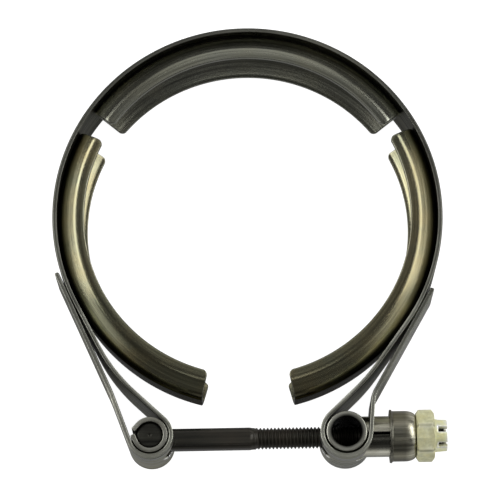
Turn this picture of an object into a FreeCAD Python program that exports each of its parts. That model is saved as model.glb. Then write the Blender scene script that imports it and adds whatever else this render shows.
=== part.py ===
import FreeCAD, Part
import math
import os

import Sketcher

# V band clamp for an exhaust joint. A flat steel strip runs round the outside, and each of its ends
# is folded round a trunnion and welded back on itself. Three V shaped retainers are welded inside.
# A T bolt joins the two ends. The clamp lies flat: +Z is the axis of the ring, the origin is its
# centre at half width, and the bolt runs along X on the -Y side. Lengths are in millimetres and
# angles in degrees.

SIZES = [
    # outer strip
    ("band_radius", 54.0),            # outside of the strip on the ring
    ("band_thickness", 1.2),
    ("band_width", 20.0),
    ("bolt_offset", 7.2),             # from the outside of the ring to the axis of the bolt
    ("weld_gap", 0.05),               # between the ring and the returning ends
    # left end of the strip
    ("left_loop_angle", 24.274),      # axis of the loop, from the middle plane at the ring's centre
    ("left_leg_angle", 26.6),         # where the strip leaves the ring, below the horizontal
    ("left_leg_run", 0.41),           # straight out to the corner of the leg, as a share of the radius
    ("left_leg_bend", 47.0),
    ("left_strap_slope", 70.0),       # slope of the returning end just after the loop
    ("left_strap_rise", 15.0),        # from the loop to the corner of the returning end
    ("left_strap_bend", 23.0),
    ("left_tip_run", 6.9),            # from the weld to the tip of the returning end
    # right end of the strip
    ("right_loop_angle", 23.017),
    ("right_leg_angle", 36.3),
    ("right_leg_run", 0.344),
    ("right_leg_bend", 50.0),
    ("right_strap_slope", 84.8),
    ("right_strap_rise", 10.6),
    ("right_strap_bend", 5.0),
    ("right_tip_run", 6.4),
    # retainers
    ("retainer_thickness", 1.2),
    ("retainer_width", 19.6),
    ("retainer_depth", 7.55),         # from the strip's inside to the bore between the lips
    ("retainer_bend", 6.4),           # outside radius between root and leg
    ("retainer_flare", 10.0),         # leg against the plane of the ring
    ("lip_corner", 1.6),
    ("top_angle", 88.9),
    ("top_span", 107.4),
    ("left_angle", 203.3),
    ("left_span", 104.0),
    ("right_angle", -24.2),
    ("right_span", 105.0),
    # sleeve round the head of the bolt
    ("sleeve_radius", 4.9),
    ("sleeve_wall", 1.3),
    ("sleeve_length", 19.4),
    ("sleeve_clearance", 0.25),       # between sleeve and loop
    ("sleeve_end_angle", 147.0),      # where the wall turns straight towards its split
    ("sleeve_end_length", 2.0),
    ("sleeve_turn", 9.0),             # tilt of the split above the horizontal
    # bolt
    ("head_clearance", 0.12),         # between head and sleeve
    ("head_length", 17.6),
    ("head_chamfer", 0.5),
    ("shank_square", 5.3),
    ("shank_corner", 0.9),
    ("thread_start", 1.8),            # from the middle plane
    ("thread_diameter", 6.0),
    ("thread_chamfer", 0.8),
    ("slot_clearance", 0.6),          # beside what passes through the strip and the sleeve
    ("slot_swing", 1.6),              # how far a slot reaches past the bolt round the loop
    ("slot_depth", 2.4),              # how far a slot is cut past the strip of the loop
    # cross trunnion and spacer tube
    ("trunnion_radius", 5.65),
    ("trunnion_wall", 1.6),
    ("trunnion_length", 19.4),
    ("trunnion_clearance", 0.3),      # between trunnion and loop
    ("trunnion_chamfer", 0.35),
    ("bolt_clearance", 0.8),          # round the bolt in trunnion and tube
    ("tube_radius", 5.6),
    ("tube_start", 2.5),              # from the trunnion's axis
    ("tube_length", 14.2),
    ("saddle_clearance", 0.04),       # between the tube's saddle and the trunnion
    ("seam_width", 0.7),
    # thrust cap
    ("cap_radius", 6.95),
    ("cap_wall", 0.65),
    ("cap_floor", 2.0),
    ("cap_length", 7.2),
    ("cap_shoulder", 3.1),            # length of the domed shoulder
    ("cap_face_radius", 5.5),
    ("cap_brim", 0.4),
    ("cap_brim_thickness", 0.7),
    ("cap_end_gap", 0.4),             # between the tube's end and the floor of the cap
    ("cap_bore_clearance", 0.15),
    # lock nut
    ("nut_gap", 0.1),
    ("nut_across_flats", 12.7),
    ("nut_height", 5.0),
    ("nut_chamfer", 0.8),
    ("nut_bevel_edge", 0.1),          # how far inside the flats the bevel starts
    ("crown_radius", 4.5),
    ("crown_height", 3.5),
    ("crown_slot_width", 1.3),
    ("crown_slot_depth", 2.5),
    ("crown_edge", 0.4),
    ("nut_bore_clearance", 0.06),
    ("nut_turn", 14.7),               # a corner of the hexagon against +Z
    ("bolt_end_gap", 0.8),            # end of the bolt inside the crown
]

# radii and places along the bolt that several pieces share, as formulas of the sizes
ROOT = "(sizes.band_radius - sizes.band_thickness)"
LIP = "(%s - sizes.retainer_depth)" % ROOT
BOLT_Y = "-(sizes.band_radius + sizes.bolt_offset)"
LEFT_X = "(%s * tan(sizes.left_loop_angle))" % BOLT_Y
RIGHT_X = "(-%s * tan(sizes.right_loop_angle))" % BOLT_Y
TUBE_END = "(" + RIGHT_X + " + sizes.tube_start + sizes.tube_length)"
CAP_START = "(" + TUBE_END + " + sizes.cap_end_gap + sizes.cap_floor - sizes.cap_length)"
NUT_START = "(" + CAP_START + " + sizes.cap_length + sizes.nut_gap)"
BOLT_END = "(" + NUT_START + " + sizes.nut_height + sizes.crown_height - sizes.bolt_end_gap)"
BOLT_HOLE = "(sizes.thread_diameter / 2 + sizes.bolt_clearance)"

BEND_FLATS = 3                        # flats that stand for a rolled bend
START, END, CENTRE = range(1, 4)
H_AXIS, V_AXIS = range(-1, -3, -1)
ORIGIN = (H_AXIS, START)

doc = FreeCAD.newDocument("v_band_clamp")
sheet = doc.addObject("Spreadsheet::Sheet", "sizes")
for row, (alias, value) in enumerate(SIZES, start=1):
    sheet.set("A%d" % row, alias.replace("_", " "))
    sheet.set("B%d" % row, str(value))
    sheet.setAlias("B%d" % row, alias)
doc.recompute()


def size(name):
    """Value of one driving size."""
    return float(sheet.get(name))


def vector(x, y):
    """A point of a sketch."""
    return FreeCAD.Vector(x, y, 0)


def new_body(label, x="0", y="0", turn=None, about=(0, 0, 1)):
    """A body placed by formulas and turned by an angle about an axis through its own origin."""
    body = doc.addObject("PartDesign::Body", label)
    body.Label = label
    if turn:
        body.Placement.Rotation = FreeCAD.Rotation(FreeCAD.Vector(*about), 1)
        body.setExpression("Placement.Rotation.Angle", "(%s) * 1 deg" % turn)
    body.setExpression("Placement.Base.x", "(%s) * 1 mm" % x)
    body.setExpression("Placement.Base.y", "(%s) * 1 mm" % y)
    return body


def new_sketch(body, name, role, x="0", y="0", z="0"):
    """A sketch on one of the body's own planes, moved by formulas along the plane's axes."""
    sketch = body.newObject("Sketcher::SketchObject", name)
    plane = next(p for p in body.Origin.OriginFeatures if p.Role == role)
    sketch.AttachmentSupport = [(plane, "")]
    sketch.MapMode = "FlatFace"
    for axis, formula in (("x", x), ("y", y), ("z", z)):
        sketch.setExpression("AttachmentOffset.Base." + axis, "(%s) * 1 mm" % formula)
    return sketch


def bind(sketch, constraint, formula, unit="mm"):
    """Adds a constraint whose value follows a formula of the sizes."""
    index = sketch.addConstraint(constraint)
    name = "size%d" % index
    sketch.renameConstraint(index, name)
    sketch.setExpression("Constraints." + name, "(%s) * 1 %s" % (formula, unit))


def circle(sketch, radius):
    """A circle round the sketch's origin."""
    index = sketch.addGeometry(Part.Circle(vector(0, 0), FreeCAD.Vector(0, 0, 1), 1.0))
    sketch.addConstraint(Sketcher.Constraint("Coincident", index, CENTRE, *ORIGIN))
    bind(sketch, Sketcher.Constraint("Radius", index, 1.0), radius)


def polygon(sketch, points):
    """Closed outline of straight lines, with a line's index equal to its first point's."""
    count = len(points)
    for i in range(count):
        sketch.addGeometry(Part.LineSegment(vector(*points[i]), vector(*points[(i + 1) % count])))
    for i in range(count):
        sketch.addConstraint(Sketcher.Constraint("Coincident", i, END, (i + 1) % count, START))


def rectangle(sketch, left, right, width):
    """A rectangle from left to right along the sketch's x, and centred on its x axis.

    It is drawn at any size, and its constraints give it the real one.
    """
    polygon(sketch, [(0, -1), (9, -1), (9, 1), (0, 1)])
    for i, direction in ((0, "Horizontal"), (2, "Horizontal"), (3, "Vertical")):
        sketch.addConstraint(Sketcher.Constraint(direction, i))
    sketch.addConstraint(Sketcher.Constraint("Symmetric", 1, START, 1, END, H_AXIS))
    bind(sketch, Sketcher.Constraint("DistanceX", *ORIGIN, 3, START, 0.0), left)
    bind(sketch, Sketcher.Constraint("DistanceX", *ORIGIN, 1, START, 9.0), right)
    bind(sketch, Sketcher.Constraint("DistanceY", 1, START, 1, END, 2.0), width)


def outline(sketch, corners):
    """Closed outline of straight lines whose corners are pairs of formulas."""
    count = len(corners)
    polygon(sketch, [heading(360 * i / count) for i in range(count)])
    for i, (x, y) in enumerate(corners):
        bind(sketch, Sketcher.Constraint("DistanceX", *ORIGIN, i, START, 0.0), x)
        bind(sketch, Sketcher.Constraint("DistanceY", *ORIGIN, i, START, 0.0), y)


def feature(body, kind, name, profile, **properties):
    """A feature of a body made from a sketch. A length given as text is a formula."""
    made = body.newObject("PartDesign::" + kind, name)
    made.Profile = profile
    for key, value in properties.items():
        if isinstance(value, str) and key in ("Length", "Angle"):
            unit = "deg" if key == "Angle" else "mm"
            made.setExpression(key, "(%s) * 1 %s" % (value, unit))
        else:
            setattr(made, key, value)
    return made


def pad(body, name, profile, length, both_ways=False):
    """Material along the sketch's normal, or half each way."""
    return feature(body, "Pad", name, profile, Length=length, Midplane=both_ways)


def cut(body, name, profile, length, forwards=False, both_ways=False):
    """Removes material behind the sketch, in front of it or half each way."""
    return feature(body, "Pocket", name, profile, Length=length, Reversed=forwards, Midplane=both_ways)


def edges_where(body, test):
    """Names of the body's edges that pass a test."""
    doc.recompute()
    return ["Edge%d" % i for i, edge in enumerate(body.Tip.Shape.Edges, start=1) if test(edge)]


def dress(body, kind, name, edges, formula):
    """A chamfer or fillet on edges of the last feature."""
    base = body.Tip
    made = body.newObject("PartDesign::" + kind, name)
    made.Base = (base, edges)
    made.setExpression("Radius" if kind == "Fillet" else "Size", "(%s) * 1 mm" % formula)
    return made


def mirror(body, name, role, features):
    """The same features again on the other side of one of the body's planes."""
    plane = next(p for p in body.Origin.OriginFeatures if p.Role == role)
    made = body.newObject("PartDesign::Mirrored", name)
    made.Originals = features
    made.MirrorPlane = (plane, [""])
    body.Tip = made
    return made


def moved(point, direction, distance):
    """A point moved along a direction."""
    return (point[0] + direction[0] * distance, point[1] + direction[1] * distance)


def heading(degrees):
    """Unit direction at an angle from the x axis."""
    return (math.cos(math.radians(degrees)), math.sin(math.radians(degrees)))


def touching(start, radius, centre, other):
    """Heading in degrees of the line that touches two circles and leaves both on its left."""
    x, y = centre[0] - start[0], centre[1] - start[1]
    return math.degrees(math.atan2(y, x) - math.asin((other - radius) / math.hypot(x, y)))


def bend_between(corner, first, second, radius):
    """Ends, centre and sense of the arc that rounds a corner between two headings in degrees."""
    turn = (second - first + 180) % 360 - 180
    side = 1 if turn > 0 else -1
    reach = radius * math.tan(math.radians(abs(turn)) / 2)
    enters = moved(corner, heading(first), -reach)
    centre = moved(enters, heading(first + 90 * side), radius)
    return enters, moved(corner, heading(second), reach), centre, side < 0


def strip_end(body, name, hand, end, loop, loop_formula):
    """Middle line of one half of the strip, from the top of the ring to the tip of its end.

    It goes round the ring, leaves it along a tangent, bends, goes round the loop and comes back as
    a strap that bends outwards and then touches the ring's outside. hand is 1 for the right half
    and -1 for the left.
    """
    thick = size("band_thickness")
    ring = size("band_radius") - thick / 2
    stand_off = ring + thick + size("weld_gap")
    drop = size("band_radius") + size("bolt_offset")
    centre = (drop * math.tan(math.radians(size(end + "_loop_angle"))), -drop)
    down = -90 - size(end + "_leg_angle")
    leaves = moved((0, 0), heading(down + 90), ring)
    run = size(end + "_leg_run") * size("band_radius")
    knee = moved(leaves, heading(down), run)
    inwards = touching(knee, 0, centre, loop)
    meets = moved(centre, heading(inwards - 90), loop)
    leg = bend_between(knee, down, inwards, size(end + "_leg_bend"))
    outwards = size(end + "_strap_slope")
    parts = moved(centre, heading(outwards - 90), loop)
    elbow = moved(parts, heading(outwards), size(end + "_strap_rise"))
    up = touching(elbow, 0, (0, 0), stand_off)
    strap = bend_between(elbow, outwards, up, size(end + "_strap_bend"))
    touches = moved((0, 0), heading(up - 90), stand_off)
    tip = moved(touches, heading(up), size(end + "_tip_run"))

    sketch = new_sketch(body, name, "XY_Plane")

    def place(point):
        return vector(hand * point[0], point[1])

    def arc(middle, radius, enter, leave, clockwise):
        """Arc between two points, drawn anticlockwise as sketches need it, and its two ends."""
        forwards = clockwise != (hand > 0)
        first, last = (enter, leave) if forwards else (leave, enter)
        angles = [math.atan2(p[1] - middle[1], hand * (p[0] - middle[0])) for p in (first, last)]
        if angles[1] < angles[0]:
            angles[1] += 2 * math.pi
        shape = Part.Circle(place(middle), FreeCAD.Vector(0, 0, 1), radius)
        index = sketch.addGeometry(Part.ArcOfCircle(shape, angles[0], angles[1]))
        return (index, START, END) if forwards else (index, END, START)

    def line(first, last, guide=False):
        return (sketch.addGeometry(Part.LineSegment(place(first), place(last)), guide), START, END)

    def corner(point, before, after, distance, formula):
        """The corner that a bend rounds, held at a distance along the line before it."""
        at = sketch.addGeometry(Part.Point(place(point)), True)
        sketch.addConstraint(Sketcher.Constraint("PointOnObject", at, START, before))
        sketch.addConstraint(Sketcher.Constraint("PointOnObject", at, START, after))
        bind(sketch, Sketcher.Constraint("Distance", before, START, at, START, distance), formula)

    def direction(line_index, degrees, formula):
        """Direction of a line, mirrored on the left hand."""
        mirrored = "180 - (%s)" % formula if hand < 0 else formula
        angle = 180 - degrees if hand < 0 else degrees
        bind(sketch, Sketcher.Constraint("Angle", line_index, math.radians(angle)), mirrored, "deg")

    round_ring = arc((0, 0), ring, (0, ring), leaves, True)
    leg_out = line(leaves, leg[0])
    leg_arc = arc(leg[2], size(end + "_leg_bend"), leg[0], leg[1], leg[3])
    leg_in = line(leg[1], meets)
    round_loop = arc(centre, loop, meets, parts, False)
    rises = line(parts, strap[0])
    strap_arc = arc(strap[2], size(end + "_strap_bend"), strap[0], strap[1], strap[3])
    lands = line(strap[1], tip)
    chain = [round_ring, leg_out, leg_arc, leg_in, round_loop, rises, strap_arc, lands]
    for (a, a_in, a_out), (b, b_in, b_out) in zip(chain, chain[1:]):
        sketch.addConstraint(Sketcher.Constraint("Tangent", a, a_out, b, b_in))

    own = "sizes." + end
    sketch.addConstraint(Sketcher.Constraint("Coincident", round_ring[0], CENTRE, *ORIGIN))
    sketch.addConstraint(Sketcher.Constraint("PointOnObject", round_ring[0], round_ring[1], V_AXIS))
    bind(sketch, Sketcher.Constraint("Radius", round_ring[0], ring),
         "sizes.band_radius - sizes.band_thickness / 2")
    direction(leg_out[0], down, "-90 - %s_leg_angle" % own)
    corner(knee, leg_out[0], leg_in[0], run, "%s_leg_run * sizes.band_radius" % own)
    bind(sketch, Sketcher.Constraint("Radius", leg_arc[0], size(end + "_leg_bend")), own + "_leg_bend")
    bind(sketch, Sketcher.Constraint("Radius", round_loop[0], loop), loop_formula)
    bind(sketch, Sketcher.Constraint("DistanceX", *ORIGIN, round_loop[0], CENTRE, hand * centre[0]),
         RIGHT_X if hand > 0 else LEFT_X)
    bind(sketch, Sketcher.Constraint("DistanceY", *ORIGIN, round_loop[0], CENTRE, -drop), BOLT_Y)
    direction(rises[0], outwards, own + "_strap_slope")
    corner(elbow, rises[0], lands[0], size(end + "_strap_rise"), own + "_strap_rise")
    bind(sketch, Sketcher.Constraint("Radius", strap_arc[0], size(end + "_strap_bend")),
         own + "_strap_bend")
    weld = line((0, 0), touches, True)
    sketch.addConstraint(Sketcher.Constraint("Coincident", weld[0], START, *ORIGIN))
    sketch.addConstraint(Sketcher.Constraint("PointOnObject", weld[0], END, lands[0]))
    sketch.addConstraint(Sketcher.Constraint("Perpendicular", weld[0], lands[0]))
    bind(sketch, Sketcher.Constraint("Distance", weld[0], stand_off),
         "sizes.band_radius + sizes.band_thickness / 2 + sizes.weld_gap")
    bind(sketch, Sketcher.Constraint("Distance", weld[0], END, lands[0], END, size(end + "_tip_run")),
         own + "_tip_run")
    return sketch


def outer_band():
    """The outer strip: two sweeps from the top of the ring, with slots where the bolt passes."""
    body = new_body("outer_band")
    section = new_sketch(body, "band_section", "YZ_Plane",
                         x="sizes.band_radius - sizes.band_thickness / 2")
    rectangle(section, "-sizes.band_thickness / 2", "sizes.band_thickness / 2", "sizes.band_width")
    half = size("band_thickness") / 2
    left_loop = size("sleeve_radius") + size("sleeve_clearance") + half
    right_loop = size("trunnion_radius") + size("trunnion_clearance") + half
    for name, hand, loop, formula in (
            ("left", -1, left_loop,
             "sizes.sleeve_radius + sizes.sleeve_clearance + sizes.band_thickness / 2"),
            ("right", 1, right_loop,
             "sizes.trunnion_radius + sizes.trunnion_clearance + sizes.band_thickness / 2")):
        path = strip_end(body, name + "_path", hand, name, loop, formula)
        doc.recompute()
        edges = ["Edge%d" % (i + 1) for i in range(len(path.Shape.Edges))]
        feature(body, "AdditivePipe", name + "_strip", section, Spine=(path, edges))

    bolt_slot = "2 * (%s / 2 + sizes.slot_clearance + sizes.slot_swing)"
    for name, x, across, tall, forwards in (
            ("shank_slot", LEFT_X, bolt_slot % "sizes.shank_square",
             "sizes.shank_square + 2 * sizes.slot_clearance", True),
            ("thread_slot", RIGHT_X, bolt_slot % "sizes.thread_diameter",
             "sizes.thread_diameter + 2 * sizes.slot_clearance", False),
            ("tube_slot", RIGHT_X, "2 * (sizes.tube_radius + sizes.slot_clearance)",
             "2 * (sizes.tube_radius + sizes.slot_clearance)", True)):
        slot = new_sketch(body, name + "_outline", "YZ_Plane", x=BOLT_Y, z=x)
        rectangle(slot, "-(%s) / 2" % across, "(%s) / 2" % across, tall)
        reach = "sizes.trunnion_radius + sizes.trunnion_clearance + sizes.band_thickness"
        cut(body, name, slot, reach + " + sizes.slot_depth", forwards=forwards)
    return body


def retainer(label, angle, span):
    """A rolled V segment: half its section is revolved, mirrored, and its lip corners rounded."""
    body = new_body(label, turn="sizes." + angle)
    middle = "(%s - sizes.retainer_bend)" % ROOT
    rise = "((%s + sizes.retainer_bend * sin(sizes.retainer_flare) - %s)" % (middle, LIP)
    rise += " * tan(sizes.retainer_flare))"
    flat = "(sizes.retainer_width / 2 - %s - sizes.retainer_bend * cos(sizes.retainer_flare))" % rise

    def bend(radius):
        """Corners of the flats that stand for the bend, from the root to the leg."""
        angles = ["(90 - sizes.retainer_flare) * %d / %d" % (i, BEND_FLATS) for i in range(BEND_FLATS + 1)]
        return [("%s + %s * cos(%s)" % (middle, radius, a), "%s + %s * sin(%s)" % (flat, radius, a))
                for a in angles]

    outside = bend("sizes.retainer_bend")
    inside = bend("(sizes.retainer_bend - sizes.retainer_thickness)")
    lip = [(LIP, "sizes.retainer_width / 2"),
           (LIP, "sizes.retainer_width / 2 - sizes.retainer_thickness / cos(sizes.retainer_flare)")]
    sketch = new_sketch(body, label + "_section", "XZ_Plane")
    outline(sketch, [(ROOT, "0")] + outside + lip + inside[::-1]
            + [(ROOT + " - sizes.retainer_thickness", "0")])

    half_ring = feature(body, "Revolution", label + "_half", sketch, ReferenceAxis=(sketch, ["V_Axis"]),
                        Angle="sizes." + span, Midplane=True)
    mirror(body, label + "_whole", "XY_Plane", [half_ring])

    bore = size("band_radius") - size("band_thickness") - size("retainer_depth")

    def is_lip_corner(edge):
        a, b = (v.Point for v in edge.Vertexes) if len(edge.Vertexes) == 2 else (None, None)
        if a is None or abs(a.x - b.x) > 0.01 or abs(a.y - b.y) > 0.01:
            return False
        return abs(math.hypot(a.x, a.y) - bore) < 0.01

    dress(body, "Fillet", label + "_corners", edges_where(body, is_lip_corner), "sizes.lip_corner")
    return body


def bolt_sleeve():
    """Rolled sleeve round the bolt's head, split towards the left, with a slot for the shank."""
    body = new_body("bolt_sleeve", LEFT_X, BOLT_Y, "-sizes.sleeve_turn")
    outside, wall = size("sleeve_radius"), size("sleeve_wall")
    inside, straight = outside - wall, size("sleeve_end_length")
    end = size("sleeve_end_angle")
    along = heading(end + 90)
    outer, inner = moved((0, 0), heading(end), outside), moved((0, 0), heading(end), inside)
    sketch = new_sketch(body, "sleeve_outline", "XY_Plane")
    up = FreeCAD.Vector(0, 0, 1)
    sketch.addGeometry([
        Part.LineSegment(vector(inside, 0), vector(outside, 0)),
        Part.ArcOfCircle(Part.Circle(vector(0, 0), up, outside), 0, math.radians(end)),
        Part.LineSegment(vector(*outer), vector(*moved(outer, along, straight))),
        Part.LineSegment(vector(*moved(outer, along, straight)), vector(*moved(inner, along, straight))),
        Part.LineSegment(vector(*moved(inner, along, straight)), vector(*inner)),
        Part.ArcOfCircle(Part.Circle(vector(0, 0), up, inside), 0, math.radians(end)),
    ])
    for joint in ((1, END, 2, START), (4, END, 5, END)):
        sketch.addConstraint(Sketcher.Constraint("Tangent", *joint))
    for joint in ((0, END, 1, START), (2, END, 3, START), (3, END, 4, START), (5, START, 0, START),
                  (1, CENTRE, *ORIGIN), (5, CENTRE, *ORIGIN)):
        sketch.addConstraint(Sketcher.Constraint("Coincident", *joint))
    sketch.addConstraint(Sketcher.Constraint("PointOnObject", 0, START, H_AXIS))
    sketch.addConstraint(Sketcher.Constraint("Horizontal", 0))
    sketch.addConstraint(Sketcher.Constraint("Perpendicular", 2, 3))
    bind(sketch, Sketcher.Constraint("Radius", 1, outside), "sizes.sleeve_radius")
    bind(sketch, Sketcher.Constraint("Radius", 5, inside), "sizes.sleeve_radius - sizes.sleeve_wall")
    bind(sketch, Sketcher.Constraint("Distance", 2, straight), "sizes.sleeve_end_length")
    bind(sketch, Sketcher.Constraint("Angle", 2, math.radians(end + 90)),
         "sizes.sleeve_end_angle + 90", "deg")
    half = pad(body, "sleeve_half", sketch, "sizes.sleeve_length", both_ways=True)
    mirror(body, "sleeve_whole", "XZ_Plane", [half])

    slot = new_sketch(body, "sleeve_slot_outline", "XY_Plane")
    slot.AttachmentOffset = FreeCAD.Placement(FreeCAD.Vector(), FreeCAD.Rotation(up, 1))
    slot.setExpression("AttachmentOffset.Rotation.Angle", "sizes.sleeve_turn * 1 deg")
    rectangle(slot, "0", "2 * sizes.sleeve_radius", "sizes.shank_square + sizes.slot_clearance")
    cut(body, "sleeve_slot", slot, "sizes.shank_square + 2 * sizes.slot_clearance", both_ways=True)
    return body


def t_bolt():
    """Bolt with a square shank, a round cross head along Z and a threaded end."""
    body = new_body("t_bolt", y=BOLT_Y)
    square = new_sketch(body, "shank_outline", "YZ_Plane", z=LEFT_X)
    rectangle(square, "-sizes.shank_square / 2", "sizes.shank_square / 2", "sizes.shank_square")
    pad(body, "shank", square, "sizes.thread_start - " + LEFT_X)

    def runs_along_x(edge):
        a, b = (v.Point for v in edge.Vertexes)
        return abs(a.y - b.y) < 0.01 and abs(a.z - b.z) < 0.01

    dress(body, "Chamfer", "shank_corners", edges_where(body, runs_along_x), "sizes.shank_corner")

    thread = new_sketch(body, "thread_outline", "XY_Plane")
    start = "sizes.thread_start - sizes.shank_corner"
    radius = "sizes.thread_diameter / 2"
    outline(thread, [(start, "0"), (BOLT_END, "0"), (BOLT_END, radius + " - sizes.thread_chamfer"),
                     (BOLT_END + " - sizes.thread_chamfer", radius), (start, radius)])
    feature(body, "Revolution", "thread", thread, ReferenceAxis=(thread, ["H_Axis"]), Angle=360.0)

    head = new_sketch(body, "head_outline", "XY_Plane", x=LEFT_X)
    circle(head, "sizes.sleeve_radius - sizes.sleeve_wall - sizes.head_clearance")
    pad(body, "head", head, "sizes.head_length", both_ways=True)

    def is_head_rim(edge):
        return len(edge.Vertexes) == 1 and abs(abs(edge.Vertexes[0].Z) - size("head_length") / 2) < 0.01

    dress(body, "Chamfer", "head_edges", edges_where(body, is_head_rim), "sizes.head_chamfer")
    return body


def cross_trunnion():
    """Hollow pin held in the right loop, drilled across for the bolt."""
    body = new_body("cross_trunnion", RIGHT_X, BOLT_Y)
    ring = new_sketch(body, "trunnion_outline", "XY_Plane")
    circle(ring, "sizes.trunnion_radius")
    circle(ring, "sizes.trunnion_radius - sizes.trunnion_wall")
    pad(body, "barrel", ring, "sizes.trunnion_length", both_ways=True)

    def is_outer_rim(edge):
        return len(edge.Vertexes) == 1 and abs(edge.Curve.Radius - size("trunnion_radius")) < 0.01

    dress(body, "Chamfer", "barrel_edges", edges_where(body, is_outer_rim), "sizes.trunnion_chamfer")
    hole = new_sketch(body, "cross_hole_outline", "YZ_Plane")
    circle(hole, BOLT_HOLE)
    cut(body, "cross_hole", hole, "4 * sizes.trunnion_radius", both_ways=True)
    return body


def spacer_tube():
    """Rolled tube round the bolt, with a saddle that seats on the trunnion and an open seam on top."""
    body = new_body("spacer_tube", RIGHT_X, BOLT_Y)
    ring = new_sketch(body, "tube_outline", "YZ_Plane", z="sizes.tube_start")
    circle(ring, "sizes.tube_radius")
    circle(ring, BOLT_HOLE)
    pad(body, "tube", ring, "sizes.tube_length")
    saddle = new_sketch(body, "saddle_outline", "XY_Plane")
    circle(saddle, "sizes.trunnion_radius + sizes.saddle_clearance")
    cut(body, "saddle", saddle, "4 * sizes.tube_radius", both_ways=True)
    seam = new_sketch(body, "seam_outline", "XY_Plane")
    rectangle(seam, "0", "sizes.tube_start + 2 * sizes.tube_length", "sizes.seam_width")
    cut(body, "seam", seam, "2 * sizes.tube_radius", forwards=True)
    return body


def thrust_cap():
    """Pressed cup with a brim, open towards the tube, whose domed floor takes the nut."""
    body = new_body("thrust_cap", CAP_START, BOLT_Y)
    outside, inside = "sizes.cap_radius", "sizes.cap_radius - sizes.cap_wall"
    brim, long = "sizes.cap_radius + sizes.cap_brim", "sizes.cap_length"
    floor = "sizes.cap_length - sizes.cap_floor"
    bore = "sizes.thread_diameter / 2 + sizes.cap_bore_clearance"
    sketch = new_sketch(body, "cap_section", "XY_Plane")
    angles = [90 * i / BEND_FLATS for i in range(BEND_FLATS + 1)]
    dome = [("sizes.cap_length - sizes.cap_shoulder * (1 - sin(%s))" % a,
             "sizes.cap_face_radius + (sizes.cap_radius - sizes.cap_face_radius) * cos(%s)" % a)
            for a in angles]
    outline(sketch, [("0", inside), ("0", brim), ("sizes.cap_brim_thickness", brim),
                     ("sizes.cap_brim_thickness", outside)] + dome
            + [(long, bore), (floor, bore), (floor, inside)])
    feature(body, "Revolution", "cup", sketch, ReferenceAxis=(sketch, ["H_Axis"]), Angle=360.0)
    return body


def hexagon(sketch, across_flats):
    """A regular hexagon with a corner on the sketch's y axis."""
    corner = size("nut_across_flats") / math.sqrt(3)
    polygon(sketch, [moved((0, 0), heading(90 + 60 * i), corner) for i in range(6)])
    around = sketch.addGeometry(Part.Circle(vector(0, 0), FreeCAD.Vector(0, 0, 1), corner), True)
    sketch.addConstraint(Sketcher.Constraint("Coincident", around, CENTRE, *ORIGIN))
    for i in range(6):
        sketch.addConstraint(Sketcher.Constraint("PointOnObject", i, START, around))
    for i in range(1, 6):
        sketch.addConstraint(Sketcher.Constraint("Equal", 0, i))
    sketch.addConstraint(Sketcher.Constraint("PointOnObject", 0, START, V_AXIS))
    bind(sketch, Sketcher.Constraint("Radius", around, corner), across_flats + " / sqrt(3)")


def nut_chamfer(body, name, face, inwards):
    """Turned bevel that takes the corners off the hexagon at one of its faces."""
    sketch = new_sketch(body, name + "_outline", "XY_Plane")
    corner = "sizes.nut_across_flats / sqrt(3)"
    outline(sketch, [(face, "sizes.nut_across_flats / 2 - sizes.nut_bevel_edge"),
                     ("%s + %d * sizes.nut_chamfer" % (face, inwards), corner), (face, corner)])
    feature(body, "Groove", name, sketch, ReferenceAxis=(sketch, ["H_Axis"]), Angle=360.0)


def lock_nut():
    """Hexagon nut with a slotted crown whose fingers grip the thread."""
    body = new_body("lock_nut", NUT_START, BOLT_Y, "-sizes.nut_turn", about=(1, 0, 0))
    outline = new_sketch(body, "nut_outline", "YZ_Plane")
    hexagon(outline, "sizes.nut_across_flats")
    pad(body, "hexagon", outline, "sizes.nut_height")
    nut_chamfer(body, "seat_bevel", "0", 1)
    nut_chamfer(body, "crown_bevel", "sizes.nut_height", -1)
    round_outline = new_sketch(body, "crown_outline", "YZ_Plane", z="sizes.nut_height")
    circle(round_outline, "sizes.crown_radius")
    pad(body, "crown", round_outline, "sizes.crown_height")

    top = size("nut_height") + size("crown_height")

    def is_crown_rim(edge):
        return len(edge.Vertexes) == 1 and abs(edge.Vertexes[0].X - top) < 0.01

    dress(body, "Chamfer", "crown_rim", edges_where(body, is_crown_rim), "sizes.crown_edge")
    bore = new_sketch(body, "bore_outline", "YZ_Plane")
    circle(bore, "sizes.thread_diameter / 2 + sizes.nut_bore_clearance")
    cut(body, "bore", bore, "4 * (sizes.nut_height + sizes.crown_height)", both_ways=True)
    slot = new_sketch(body, "crown_slot_outline", "YZ_Plane", z="sizes.nut_height + sizes.crown_height")
    slot.AttachmentOffset = FreeCAD.Placement(slot.AttachmentOffset.Base, FreeCAD.Rotation(0, 0, 1, 1))
    slot.setExpression("AttachmentOffset.Rotation.Angle", "90 deg")
    rectangle(slot, "0", "2 * sizes.crown_radius", "sizes.crown_slot_width")
    first = cut(body, "crown_slot", slot, "sizes.crown_slot_depth")
    slots = body.newObject("PartDesign::PolarPattern", "crown_slots")
    slots.Originals = [first]
    slots.Axis = (outline, ["N_Axis"])
    slots.Angle = 360
    slots.Occurrences = 6
    body.Tip = slots
    return body


bodies = [
    outer_band(),
    retainer("retainer_top", "top_angle", "top_span"),
    retainer("retainer_left", "left_angle", "left_span"),
    retainer("retainer_right", "right_angle", "right_span"),
    bolt_sleeve(),
    t_bolt(),
    cross_trunnion(),
    spacer_tube(),
    thrust_cap(),
    lock_nut(),
]
doc.recompute()

failed = [item.Label + ": " + item.getStatusString() for item in doc.Objects
          if "Invalid" in item.State or "Error" in item.State]
if failed:
    raise RuntimeError("these features failed: " + ", ".join(failed))
for body in bodies:
    if body.Shape.isNull() or not body.Shape.isValid() or len(body.Shape.Solids) != 1:
        raise RuntimeError("%s is not one sound solid" % body.Label)

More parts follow.
